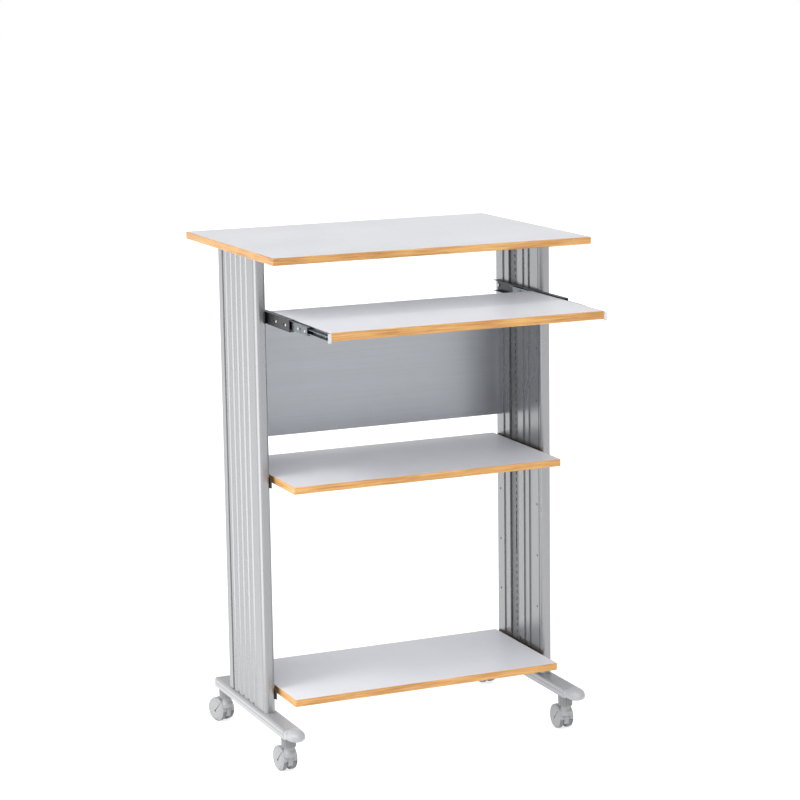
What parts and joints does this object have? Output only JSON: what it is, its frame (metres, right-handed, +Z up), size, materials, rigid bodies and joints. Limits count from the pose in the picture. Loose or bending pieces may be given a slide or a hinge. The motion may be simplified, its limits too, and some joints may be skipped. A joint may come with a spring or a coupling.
{
  "type": "mobile printer stand",
  "caption": "Tall rolling office stand: ribbed silver columns, oak-edged worktop, pull-out keyboard shelf on ball-bearing slides, fixed printer and paper shelves, hooded casters.",
  "frame": {"origin": "on the floor, under the middle of the stand's box with the keyboard shelf drawn out 180 mm", "axes": "+X to the user's right, +Y to the rear, +Z up; the user stands on the -Y side"},
  "size_m": [0.749, 0.7294, 1.143],
  "materials": {
    "laminate": "laminate on particle board, satin",
    "oak_edge": "oak-tone edge banding, satin",
    "column_silver": "silver-grey powder coat, satin",
    "foot_silver": "silver-grey powder coat, satin",
    "strip_steel": "dark grey, satin",
    "panel_grey": "blue-grey metallic, satin",
    "black_steel": "black powder coat",
    "slide_dark": "black zinc",
    "slide_zinc": "zinc plated",
    "screw_steel": "zinc plated",
    "socket_plastic": "black moulded",
    "cap_plastic": "light grey moulded",
    "stem_steel": "zinc plated",
    "caster_plastic": "light grey moulded",
    "wheel_grey": "grey moulded"
  },
  "bodies": {
    "root": {"worktop": "laminate", "middle_shelf": "laminate", "printer_shelf": "laminate", "worktop_edge_band": "oak_edge", "middle_shelf_edge_band": "oak_edge", "printer_shelf_edge_band": "oak_edge", "column_left": "column_silver", "column_right": "column_silver", "foot_left": "foot_silver", "foot_right": "foot_silver", "slot_strip_left": "strip_steel", "slot_strip_right": "strip_steel", "back_panel": "panel_grey", "top_bracket_left": "black_steel", "top_bracket_right": "black_steel", "middle_bracket_left": "black_steel", "middle_bracket_right": "black_steel", "printer_bracket_left": "black_steel", "printer_bracket_right": "black_steel", "slide_outer_left": "slide_dark", "slide_outer_right": "slide_dark", "column_screws": "screw_steel", "slide_screws": "screw_steel", "board_screws": "screw_steel", "column_top_screws": "screw_steel", "foot_bolts": "screw_steel", "caster_sockets": "socket_plastic", "foot_cap_front_left": "cap_plastic", "caster_stem_front_left": "stem_steel", "foot_cap_front_right": "cap_plastic", "caster_stem_front_right": "stem_steel", "foot_cap_rear_left": "cap_plastic", "caster_stem_rear_left": "stem_steel", "foot_cap_rear_right": "cap_plastic", "caster_stem_rear_right": "stem_steel"},
    "keyboard_shelf": {"keyboard_shelf": "laminate", "keyboard_shelf_edge_band": "oak_edge", "slide_inner_left": "slide_zinc", "slide_inner_right": "slide_zinc", "tray_screws": "screw_steel"},
    "slide_middle": {"slide_middle_left": "slide_zinc", "slide_middle_right": "slide_zinc"},
    "ball_cages_outer": {"ball_cages_outer": "slide_zinc"},
    "ball_cages_inner": {"ball_cages_inner": "slide_zinc"},
    "caster_front_left": {"caster_hood_front_left": "caster_plastic", "caster_axle_front_left": "stem_steel"},
    "wheel_front_left_left": {"wheel_front_left_left": "wheel_grey"},
    "wheel_front_left_right": {"wheel_front_left_right": "wheel_grey"},
    "caster_front_right": {"caster_hood_front_right": "caster_plastic", "caster_axle_front_right": "stem_steel"},
    "wheel_front_right_left": {"wheel_front_right_left": "wheel_grey"},
    "wheel_front_right_right": {"wheel_front_right_right": "wheel_grey"},
    "caster_rear_left": {"caster_hood_rear_left": "caster_plastic", "caster_axle_rear_left": "stem_steel"},
    "wheel_rear_left_left": {"wheel_rear_left_left": "wheel_grey"},
    "wheel_rear_left_right": {"wheel_rear_left_right": "wheel_grey"},
    "caster_rear_right": {"caster_hood_rear_right": "caster_plastic", "caster_axle_rear_right": "stem_steel"},
    "wheel_rear_right_left": {"wheel_rear_right_left": "wheel_grey"},
    "wheel_rear_right_right": {"wheel_rear_right_right": "wheel_grey"}
  },
  "joints": [
    {"name": "keyboard_slide", "type": "slide", "parent": "root", "child": "keyboard_shelf", "axis": [0, -1, 0], "range_m": [-0.18, 0.12]},
    {"name": "slide_middle_travel", "type": "slide", "parent": "root", "child": "slide_middle", "axis": [0, -1, 0], "range_m": [-0.09, 0.06]},
    {"name": "outer_cage_travel", "type": "slide", "parent": "root", "child": "ball_cages_outer", "axis": [0, -1, 0], "range_m": [-0.045, 0.03]},
    {"name": "inner_cage_travel", "type": "slide", "parent": "root", "child": "ball_cages_inner", "axis": [0, -1, 0], "range_m": [-0.135, 0.09]},
    {"name": "caster_swivel_front_left", "type": "hinge", "parent": "root", "child": "caster_front_left", "pos_m": [-0.34, -0.12975, 0.06], "axis": [0, 0, 1], "continuous": true},
    {"name": "wheel_spin_front_left_left", "type": "hinge", "parent": "caster_front_left", "child": "wheel_front_left_left", "pos_m": [-0.34174, -0.10983, 0.025], "axis": [0.9962, 0.0872, 0], "continuous": true},
    {"name": "wheel_spin_front_left_right", "type": "hinge", "parent": "caster_front_left", "child": "wheel_front_left_right", "pos_m": [-0.34174, -0.10983, 0.025], "axis": [0.9962, 0.0872, 0], "continuous": true},
    {"name": "caster_swivel_front_right", "type": "hinge", "parent": "root", "child": "caster_front_right", "pos_m": [0.34, -0.12975, 0.06], "axis": [0, 0, 1], "continuous": true},
    {"name": "wheel_spin_front_right_left", "type": "hinge", "parent": "caster_front_right", "child": "wheel_front_right_left", "pos_m": [0.3407, -0.10976, 0.025], "axis": [0.9994, -0.0349, 0], "continuous": true},
    {"name": "wheel_spin_front_right_right", "type": "hinge", "parent": "caster_front_right", "child": "wheel_front_right_right", "pos_m": [0.3407, -0.10976, 0.025], "axis": [0.9994, -0.0349, 0], "continuous": true},
    {"name": "caster_swivel_rear_left", "type": "hinge", "parent": "root", "child": "caster_rear_left", "pos_m": [-0.34, 0.27325, 0.06], "axis": [0, 0, 1], "continuous": true},
    {"name": "wheel_spin_rear_left_left", "type": "hinge", "parent": "caster_rear_left", "child": "wheel_rear_left_left", "pos_m": [-0.34618, 0.29227, 0.025], "axis": [0.9511, 0.309, 0], "continuous": true},
    {"name": "wheel_spin_rear_left_right", "type": "hinge", "parent": "caster_rear_left", "child": "wheel_rear_left_right", "pos_m": [-0.34618, 0.29227, 0.025], "axis": [0.9511, 0.309, 0], "continuous": true},
    {"name": "caster_swivel_rear_right", "type": "hinge", "parent": "root", "child": "caster_rear_right", "pos_m": [0.34, 0.27325, 0.06], "axis": [0, 0, 1], "continuous": true},
    {"name": "wheel_spin_rear_right_left", "type": "hinge", "parent": "caster_rear_right", "child": "wheel_rear_right_left", "pos_m": [0.3386, 0.2932, 0.025], "axis": [0.9976, 0.0698, 0], "continuous": true},
    {"name": "wheel_spin_rear_right_right", "type": "hinge", "parent": "caster_rear_right", "child": "wheel_rear_right_right", "pos_m": [0.3386, 0.2932, 0.025], "axis": [0.9976, 0.0698, 0], "continuous": true}
  ],
  "couplings": [
    {"joint": "slide_middle_travel", "follows": "keyboard_slide", "ratio": 0.5},
    {"joint": "outer_cage_travel", "follows": "keyboard_slide", "ratio": 0.25},
    {"joint": "inner_cage_travel", "follows": "keyboard_slide", "ratio": 0.75}
  ]
}
